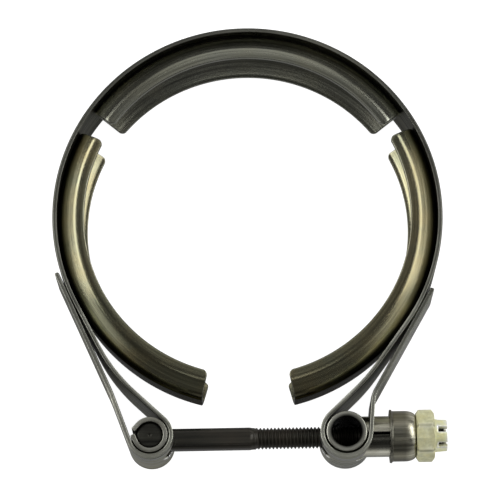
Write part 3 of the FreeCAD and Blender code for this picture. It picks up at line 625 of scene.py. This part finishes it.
def boltSurface(angle, r, x):
    # shank: a rounded octagon 1 / (sum of (cos(a - side) / distance)^q)^(1 / q); thread: crest
    # and root follow the phase x / pitch - angle / 2 pi
    q, start = bolt["power"], bolt["threadStart"]
    total = np.zeros(np.broadcast(angle, x).shape)
    half = bolt["square"] / 2
    diagonal = (bolt["square"] - bolt["corner"]) / math.sqrt(2)
    grown = bolt["taller"] * smoothStep(x, bolt["tallFrom"], bolt["tallFrom"] + bolt["tallRun"])
    for k in range(8):
        side = k * math.pi / 4
        distance = diagonal + grown / math.sqrt(2) if k % 2 else half + (grown if k % 4 == 0 else 0)
        total += np.maximum(np.cos(angle - side) / distance, 0) ** q
    shank = total ** (-1 / q)
    phase = np.mod(x / bolt["pitch"] - angle / (2 * math.pi), 1.0)
    ridge = np.clip(np.abs(2 * phase - 1) * 1.3 - 0.12, 0, 1)
    ridge = ridge * ridge * (3 - 2 * ridge) * 0.35 + ridge * 0.65
    runIn = smoothStep(x, start + bolt["runIn"][0], start + bolt["runIn"][1])
    depth = (bolt["major"] - bolt["minor"]) * runIn
    thread = bolt["major"] - depth * ridge
    cone = bolt["minor"] - 0.15 + np.maximum(bolt["end"] - x, 0)
    thread = np.minimum(thread, cone)
    mix = smoothStep(x, start - bolt["neck"], start)
    radius = shank * (1 - mix) + thread * mix
    return np.where(r > 0.5, radius, r * radius / bolt["minor"]), x


def makeBolt():
    # one closed outline from the shank's start along the outside to the end and back on the axis
    neck, deep, tall = bolt["threadStart"] - 1.4, bolt["threadStart"] + 1.8, bolt["tallFrom"]
    shankX = spread([bolt["start"], tall, tall + bolt["tallRun"], neck], 0.4)
    neckX = spread([neck, deep], 0.1)[1:]
    threadX = spread([deep, bolt["end"] - 1.0], bolt["pitch"] / 11)[1:]
    tipX = spread([bolt["end"] - 1.0, bolt["end"]], 0.06)[1:]
    x = np.concatenate([shankX, neckX, threadX, tipX])
    outside = np.ones(len(x)) * 3
    caps = np.array([0.45, 0.25, 0.02])
    radius = np.concatenate([outside, caps, caps[::-1]])
    along = np.concatenate([x, np.full(3, bolt["end"]), np.full(3, bolt["start"])])
    radius, along = np.append(radius, radius[0]), np.append(along, along[0])
    rim = np.full(len(radius), 5.0)
    return turned("boltShank", radius, along, (0, clamp["boltY"], 0), 72, along, rim, boltSurface)


def makeHead():
    # round cross head along Z: a closed outline with bevelled ends, turned about its axis
    r, h, edge = bolt["headRadius"], bolt["headHalf"], bolt["headEdge"]
    turns = 64
    a = np.radians(np.linspace(0, 90, 6))
    endR = np.concatenate([[0.02, 0.8, 1.6, 2.3], r - edge + edge * np.sin(a)])
    endZ = np.concatenate([[h, h, h - 0.02, h - 0.05], h - 0.05 - edge + edge * np.cos(a)])
    sideZ = np.linspace(h - 0.6, -h + 0.6, 30)
    radius = np.concatenate([endR, np.full(30, r), endR[::-1]])
    height = np.concatenate([endZ, sideZ, -endZ[::-1]])
    radius, height = np.append(radius, radius[0]), np.append(height, height[0])
    angle = np.linspace(0, 2 * math.pi, turns + 1)
    x = clamp["leftLoop"] + radius[None] * np.cos(angle)[:, None]
    y = clamp["boltY"] + radius[None] * np.sin(angle)[:, None]
    z = np.repeat(height[None], turns + 1, 0)
    points = np.stack([x, y, z], 2)
    quads, seam = closedGrid(*x.shape)
    lay = np.stack([x + z, y], 2)
    rim = np.repeat(np.minimum(np.abs(np.abs(height) - h + 0.3), 3.0)[None], turns + 1, 0)
    # this outline runs down, so its faces are turned to look outwards
    return buildMesh("boltHead", points.reshape(-1, 3), quads[:, [0, 3, 2, 1]], lay.reshape(-1, 2),
                     rim.reshape(-1), seam)


finished(makeBolt(), boltBlack, "bolt", ["t_bolt"])
finished(makeHead(), headPaintedShade, "bolt", ["t_bolt"])
print("bolt made")

# trunnion, tube, cap
trunnion = {"radius": 5.65, "wall": 1.6, "half": 9.7, "hole": 3.8, "roll": 0.5, "boreShade": 0.02}


def makeTrunnion():
    # hollow pin along Z with a hole across: the rows beside the hole follow
    # sqrt(hole^2 - (radius sin angle)^2), and fade back to straight rows away from it
    mid = trunnion["radius"] - trunnion["wall"] / 2
    hole = trunnion["hole"]
    fine = np.array([0, 0.02, 0.07, 0.14, 0.24, 0.35])
    reach = math.asin(hole / mid)
    quarter = np.concatenate([reach * np.sin(np.radians(np.linspace(0, 90, 15))),
                              reach + fine[1:] / mid,
                              np.linspace(reach + 0.1, math.pi / 2, 12)[1:]])
    angle = np.unique(np.round(np.concatenate([quarter, math.pi - quarter, math.pi + quarter,
                                               2 * math.pi - quarter]), 6))
    angle[0], angle[-1] = 0.0, 2 * math.pi
    fromAxis = np.minimum(np.abs(np.sin(angle)), 1) * mid
    tall = np.sqrt(np.maximum(hole ** 2 - fromAxis ** 2, 0)) + 0.02
    half = trunnion["half"]
    inner = np.linspace(0, 1, 6)[:-1]
    rows = [tall * g for g in inner] + [tall + f for f in fine[:-1]]
    rows += [tall + 0.35 + (half - tall - 0.7) * s for s in np.linspace(0, 1, 12)]
    rows += [np.full(len(angle), half - f) for f in fine[:-1][::-1]]
    upper = np.stack(rows, 1)
    w = np.concatenate([-upper[:, :0:-1], upper], 1)
    columns, first = upper.shape[1], len(inner)
    middle = np.abs(np.sin((angle[1:] + angle[:-1]) / 2)) * mid
    keep = np.ones((len(angle) - 1, w.shape[1] - 1), bool)
    keep[middle < hole - 0.01, (columns - 1 - first):(columns - 1 + first)] = False
    outside = np.maximum(fromAxis - hole, 0)[:, None]
    aside = np.maximum(np.abs(w) - tall[:, None], 0)
    rim = np.minimum(half - np.abs(w), np.hypot(outside, aside))
    wall = trunnion["wall"] / 2
    out = wall - rollOff(half - np.abs(w), trunnion["roll"]) - rollOff(rim, 0.12)
    back = wall - rollOff(rim, 0.15)
    fold = np.arcsin(np.clip(fromAxis / mid, 0, 1))

    def placed(offset, face):
        # the hole is drilled straight, so beside it r sin(turn) is the same on both faces; from
        # its edge on, the turn goes evenly to a right angle
        brink = math.asin(hole / face)
        onward = brink + (fold - reach) * (math.pi / 2 - brink) / (math.pi / 2 - reach)
        turn = np.where(fold <= reach, np.arcsin(np.minimum(mid * np.sin(fold) / face, 1)), onward)
        r = mid + offset
        return np.stack([clamp["rightLoop"] + r * (np.sign(np.cos(angle)) * np.cos(turn))[:, None],
                         clamp["boltY"] + r * (np.sign(np.sin(angle)) * np.sin(turn))[:, None], w], 2)

    lay = np.stack([np.repeat((angle * mid)[:, None], w.shape[1], 1), w], 2)
    return plate("crossTrunnion", placed(out, mid + wall), placed(-back, mid - wall), lay, rim, keep,
                 wrap=True, shade=(1.0, trunnion["boreShade"]))


finished(makeTrunnion(), trunnionSteel, "trunnion", ["cross_trunnion"])

# the tube's saddle has its own radius, and its tips end that far from the trunnion's axis. Painted
# shade on one side of the seam fades over angles of the round
tube = {"radius": 5.6, "bore": 3.8, "end": 42.7, "length": 13, "seam": 0.7, "roll": 0.22,
        "saddle": 5.69, "tips": 2.5, "boreShade": 0.1, "seamShade": 0.15, "paintedSeamShade": (0.5, 1.0)}


def makeTube():
    # rolled tube along the bolt with an open seam on top; its start follows the trunnion as
    # sqrt(saddle^2 - (radius sin angle)^2)
    mid = (tube["radius"] + tube["bore"]) / 2
    gap = math.asin(tube["seam"] / 2 / tube["radius"])
    fine = np.array([0, 0.02, 0.06, 0.12, 0.17, 0.22])
    turns = spread([gap + f / mid for f in fine] + [2 * math.pi - gap - f / mid for f in fine[::-1]], 0.09)
    long = tube["length"]
    share = spread([0, *(fine[1:] / long), *(1 - fine[1:][::-1] / long), 1], 0.05)

    def placed(offset):
        r = mid + offset
        y = -r * np.sin(turns)[:, None]
        z = r * np.cos(turns)[:, None]
        reach = np.maximum(tube["saddle"] ** 2 - y ** 2, tube["tips"] ** 2)
        begin = clamp["rightLoop"] + np.sqrt(reach)
        x = begin + (tube["end"] - begin) * share[None]
        return np.stack([x, clamp["boltY"] + y, z], 2)

    ends = np.minimum(share, 1 - share)[None] * long
    sides = np.minimum(turns - gap, 2 * math.pi - gap - turns)[:, None] * mid
    rim = np.minimum(ends, sides)
    offset = (tube["radius"] - tube["bore"]) / 2 - rollOff(rim, tube["roll"])
    lay = np.stack([np.repeat((share * long)[None], len(turns), 0),
                    np.repeat((turns * mid)[:, None], len(share), 1)], 2)
    # painted shade beside the seam on one side, fading over the given angles
    paintedSeamShade = 1 - smoothStep(turns, *tube["paintedSeamShade"])[:, None]
    outShade = 1 - (1 - tube["seamShade"]) * paintedSeamShade
    return plate("spacerTube", placed(offset), placed(-offset), lay, rim,
                 shade=(outShade, tube["boreShade"]))


finished(makeTube(), tubeSteel, "trunnion", ["spacer_tube"])

cap = {"place": 37.9, "radius": 6.95, "wall": 0.65, "brim": 7.35, "brimThick": 0.7, "length": 7.2,
       "floor": 2.0, "shoulder": 3.1, "face": 5.5, "bore": 3.15, "paintedDomeHighlight": 2.2, "brimShade": 0.6}


def makeCap():
    # pressed cup: brim, straight wall, domed shoulder as a quarter ellipse, face, bore, floor
    r, long = cap["radius"], cap["length"]
    inside = r - cap["wall"]
    a = np.radians(np.linspace(0, 180, 9))
    brimMid, brimHalf = (cap["brim"] + inside) / 2, cap["brimThick"] / 2
    outline = [(inside, 0.35)]
    outline += [(brimMid - (brimMid - inside) * np.cos(t), brimHalf - brimHalf * np.sin(t)) for t in a[:5]]
    outline += [(cap["brim"] - brimHalf * (1 - np.sin(t)) * 0.6, brimHalf - brimHalf * np.cos(t))
                for t in np.radians(np.linspace(30, 150, 7))]
    outline += [(r + 0.12, cap["brimThick"] + 0.02), (r + 0.03, cap["brimThick"] + 0.1)]
    outline += [(r, x) for x in np.linspace(cap["brimThick"] + 0.25, long - cap["shoulder"], 8)]
    for t in np.radians(np.linspace(6, 90, 15)):
        outline.append((cap["face"] + (r - cap["face"]) * np.cos(t),
                        long - cap["shoulder"] * (1 - np.sin(t))))
    outline += [(x, long) for x in np.linspace(cap["face"] - 0.5, cap["bore"] + 0.15, 5)]
    outline += [(cap["bore"] + 0.04, long - 0.04), (cap["bore"], long - 0.15)]
    outline += [(cap["bore"], x) for x in np.linspace(long - 0.6, long - cap["floor"] + 0.1, 4)]
    outline += [(x, long - cap["floor"]) for x in np.linspace(cap["bore"] + 0.1, inside - 0.5, 5)]
    outline += [(inside - 0.15, long - cap["floor"] - 0.12), (inside, long - cap["floor"] - 0.5)]
    outline += [(inside, x) for x in np.linspace(long - cap["floor"] - 1.0, 0.6, 5)]
    outline.append(outline[0])
    radius, along = np.array(outline).T
    steps = np.hypot(np.diff(radius, prepend=radius[0]), np.diff(along, prepend=along[0]))
    rim = np.minimum(np.abs(radius - cap["brim"]) * 1.5, 3.0)
    # painted highlight on the dome; the brim is darker
    places = [0, cap["brimThick"], cap["brimThick"] + 0.3, long - cap["shoulder"], long - 1.5]
    shade = np.interp(along, places, [cap["brimShade"], cap["brimShade"], 1, 1, cap["paintedDomeHighlight"]])
    return turned("thrustCap", radius, along, (cap["place"], clamp["boltY"], 0), 96,
                  np.cumsum(steps), rim, shade=shade)


finished(makeCap(), capSteel, "cap", ["thrust_cap"])
print("trunnion, tube and cap made")

# lock nut
nut = {"place": 45.2, "flats": 12.7, "height": 5.0, "bevel": 0.8, "bevelEdge": 0.1, "bore": 3.06,
       "turn": -14.7, "crown": 4.5, "crownHeight": 3.5, "sink": 0.4, "slotWidth": 1.3,
       "slotDepth": 2.5, "cornerCut": 0.985, "cornerRoll": 0.02, "crownShade": (1.5, 0.6), "paintedCornerShade": 0.5,
       "paintedCornerReach": 0.3}


def nutRadius(angle):
    # hexagon apothem / cos(angle to the nearest flat), with its corners turned off
    near = np.mod(angle + math.pi / 6, math.pi / 3) - math.pi / 6
    apothem = nut["flats"] / 2
    return np.minimum(apothem / np.cos(near), apothem / math.cos(math.pi / 6) * nut["cornerCut"])


def makeNut():
    # outline rows share x between bevel and flat so that the crease runs where both radii meet
    corner = np.radians(np.arange(0, 360, 60) + 30)
    angle = np.unique(np.round(np.concatenate(
        [np.linspace(0, 2 * math.pi, 145)]
        + [c + np.radians([-6.0, -5.4, -4.9, -4.4, 4.4, 4.9, 5.4, 6.0]) for c in corner]), 6))
    angle[-1] = 2 * math.pi
    hexR = nutRadius(angle)
    apothem = nut["flats"] / 2
    low = apothem - nut["bevelEdge"]
    slope = nut["bevel"] / (apothem / math.cos(math.pi / 6) - low)
    crease = (hexR - low) * slope
    h = nut["height"]
    ones = np.ones(len(angle))
    faceR = np.linspace(nut["bore"] + 0.3, low - 0.1, 6)
    shares = (0.0, 0.15, 0.5, 0.85, 1.0)
    bevelR = [low + (hexR - low) * s - nut["cornerRoll"] for s in shares]
    rows = [(r * ones, 0 * ones) for r in faceR]
    rows += [(r, crease * s) for r, s in zip(bevelR, shares)]
    rows += [(hexR, crease + (h - 2 * crease) * s) for s in (0.02, 0.2, 0.5, 0.8, 0.98)]
    rows += [(r, h - crease * s) for r, s in zip(bevelR[::-1], shares[::-1])]
    rows += [(r * ones, h * ones) for r in faceR[::-1]]
    rows += [(nut["bore"] * ones, x * ones) for x in np.linspace(h - 0.3, 0.3, 6)]
    rows.append(rows[0])
    radius = np.stack([r for r, x in rows], 1)
    along = np.stack([x for r, x in rows], 1)
    turn = angle[:, None] + math.pi / 2 + math.radians(nut["turn"]) + math.pi / 6
    points = np.stack([nut["place"] + along, clamp["boltY"] + radius * np.cos(turn),
                       radius * np.sin(turn)], 2)
    nu, nv = radius.shape
    quads, seam = closedGrid(nu, nv)
    lay = np.stack([along, np.repeat((angle * apothem)[:, None], nv, 1)], 2)
    rim = np.minimum(np.abs(radius - apothem * 1.12) + 0.1, 3)
    # painted shade along the corners: 1 - depth * exp(-(distance to the corner / reach)^2)
    toCorner = np.abs(np.mod(angle, math.pi / 3) - math.pi / 6) * apothem
    paintedCornerShade = 1 - nut["paintedCornerShade"] * np.exp(-(toCorner / nut["paintedCornerReach"]) ** 2)
    return buildMesh("nutHexagon", points.reshape(-1, 3), quads, lay.reshape(-1, 2), rim.reshape(-1),
                     seam, np.repeat(paintedCornerShade, nv))


def makeCrown():
    # slotted ring on the nut: rows run round, columns beside each slot are close together
    outer, inner = nut["crown"], nut["bore"]
    mid = (outer + inner) / 2
    half = math.asin(nut["slotWidth"] / 2 / mid)
    fine = np.array([0, 0.02, 0.06, 0.12, 0.2])
    slots = np.radians(np.arange(0, 360, 60))
    stops = np.concatenate([[s - half - f / mid for f in fine] + [s + half + f / mid for f in fine]
                            for s in slots])
    stops = np.unique(np.round(np.append(np.mod(stops, 2 * math.pi), [0, 2 * math.pi]), 6))
    angle = spread(stops, 0.1)
    h, top = nut["height"], nut["crownHeight"]
    base = top - nut["slotDepth"]
    x = spread([-nut["sink"], base - 0.2, base, *(top - fine[::-1])], 0.25)
    centre = (angle[1:] + angle[:-1]) / 2
    fromSlot = np.abs(np.mod(centre + math.pi / 6, math.pi / 3) - math.pi / 6)
    level = (x[1:] + x[:-1]) / 2
    keep = ~((fromSlot < half)[:, None] & (level > base)[None])
    away = np.abs(np.mod(angle + math.pi / 6, math.pi / 3) - math.pi / 6) - half
    aside = np.maximum(away, 0)[:, None] * mid
    below = np.maximum(base - x, 0)[None]
    rim = np.minimum(np.hypot(aside, below), (top - x)[None])
    wall = (outer - inner) / 2
    out = wall - rollOff(rim, 0.2) - 0.12 * smoothStep(x, 0.5, top)[None]
    back = wall - rollOff(rim, 0.15)
    turn = angle[:, None] + math.pi / 2 + math.radians(nut["turn"])

    def placed(offset):
        r = mid + offset
        return np.stack([np.repeat((nut["place"] + h + x)[None], len(angle), 0),
                         clamp["boltY"] + r * np.cos(turn), r * np.sin(turn)], 2)

    lay = np.stack([np.repeat(x[None], len(angle), 0), np.repeat((angle * mid)[:, None], len(x), 1)], 2)
    # painted highlight on the crown's outside and painted shade inside its bore
    return plate("nutCrown", placed(out), placed(-back), lay, rim, keep, wrap=True,
                 shade=nut["crownShade"])


finished(makeNut(), nutZinc, "nut", ["lock_nut"])
finished(makeCrown(), nutZinc, "nut", ["lock_nut"])
print("nut made")

# floor, lights and camera, in metres. The focal length is pixels over the picture's width, times
# the sensor's 36 mm
studio = {
    "focal": 2916.7 / 500 * 36, "distance": 0.814, "elevation": 76.33, "roll": -1.006,
    "target": (0.000546, -0.007796, 0), "floor": -0.01005, "floorGlow": 1.0,
    # brightness of the surround by height: straight down, towards and at the horizon, above
    "surround": [(0.0, 0.26), (0.2, 0.5), (0.46, 0.85), (0.53, 0.13)],
    # panels: direction round the part, angle from straight up, height, width and radiance
    "panels": {"leftPanel": (161, 46, 0.36, 0.85, 4.9), "rightPanel": (19, 46, 0.36, 0.85, 4.9),
               "leftLow": (180, 68, 0.65, 1.2, 0.85), "rightLow": (0, 68, 0.65, 1.2, 0.85),
               "overhead": (90, 18, 0.6, 0.3, 0.6), "behind": (90, 52, 0.48, 0.7, 1.1),
               "front": (270, 27, 0.13, 0.7, 1.3)},
}


def panelLight(name, around, tilt, height, width, radiance):
    # soft panel one metre from the part, facing it; its power is radiance * pi * area
    lamp = bpy.data.lights.new(name, "AREA")
    lamp.shape = "RECTANGLE"
    lamp.size, lamp.size_y = width, height
    lamp.energy = radiance * math.pi * width * height
    holder = bpy.data.objects.new(name, lamp)
    a, t = math.radians(around), math.radians(tilt)
    place = Vector((math.sin(t) * math.cos(a), math.sin(t) * math.sin(a), math.cos(t)))
    holder.location = place
    holder.rotation_euler = (-place).to_track_quat("-Z", "Y").to_euler()
    bpy.context.scene.collection.objects.link(holder)


def makeStudio():
    # glowing pale table, dim surround and soft panels; the camera stands at
    # target - forward * distance and is turned by its roll
    scene = bpy.context.scene
    floorMesh = bpy.data.meshes.new("floor")
    side, z = 3.0, studio["floor"]
    floorMesh.from_pydata([(-side, -side, z), (side, -side, z), (side, side, z), (-side, side, z)], [],
                          [(0, 1, 2, 3)])
    floor = bpy.data.objects.new("floor", floorMesh)
    scene.collection.objects.link(floor)
    pale = bpy.data.materials.new("paleTable")
    pale.use_nodes = True
    shader = pale.node_tree.nodes["Principled BSDF"]
    shader.inputs["Base Color"].default_value = (0.3, 0.3, 0.3, 1)
    shader.inputs["Roughness"].default_value = 0.9
    shader.inputs["Specular IOR Level"].default_value = 0.1
    shader.inputs["Emission Color"].default_value = (1, 1, 1, 1)
    shader.inputs["Emission Strength"].default_value = studio["floorGlow"]
    floorMesh.materials.append(pale)

    world = bpy.data.worlds.new("studio")
    world.use_nodes = True
    nodes, links = world.node_tree.nodes, world.node_tree.links
    split, ramp = nodes.new("ShaderNodeSeparateXYZ"), nodes.new("ShaderNodeValToRGB")
    height = nodes.new("ShaderNodeMapRange")
    height.inputs["From Min"].default_value = -1
    links.new(nodes.new("ShaderNodeTexCoord").outputs["Generated"], split.inputs[0])
    links.new(split.outputs["Z"], height.inputs["Value"])
    links.new(height.outputs["Result"], ramp.inputs["Fac"])
    stops = ramp.color_ramp.elements
    while len(stops) < len(studio["surround"]):
        stops.new(1.0)
    for stop, (place, glow) in zip(stops, studio["surround"]):
        stop.position = place
        stop.color = (glow, glow, glow, 1)
    links.new(ramp.outputs["Color"], nodes["Background"].inputs["Color"])
    scene.world = world
    floor.visible_glossy = False
    for name, panel in studio["panels"].items():
        panelLight(name, *panel)

    elevation, roll = math.radians(studio["elevation"]), math.radians(studio["roll"])
    forward = Vector((0, math.cos(elevation), -math.sin(elevation)))
    right = Vector((1, 0, 0))
    up = right.cross(forward)
    rolledRight = right * math.cos(roll) + up * math.sin(roll)
    rolledUp = up * math.cos(roll) - right * math.sin(roll)
    camera = bpy.data.cameras.new("camera")
    camera.sensor_width = 36
    camera.lens = studio["focal"]
    camera.clip_start, camera.clip_end = 0.05, 20
    viewer = bpy.data.objects.new("camera", camera)
    place = [t - f * studio["distance"] for t, f in zip(studio["target"], forward)]
    viewer.matrix_world = Matrix([*zip(rolledRight, rolledUp, -forward, place), (0, 0, 0, 1)])
    scene.collection.objects.link(viewer)
    scene.camera = viewer
    scene.view_settings.view_transform = "Standard"


makeStudio()
print("studio made")
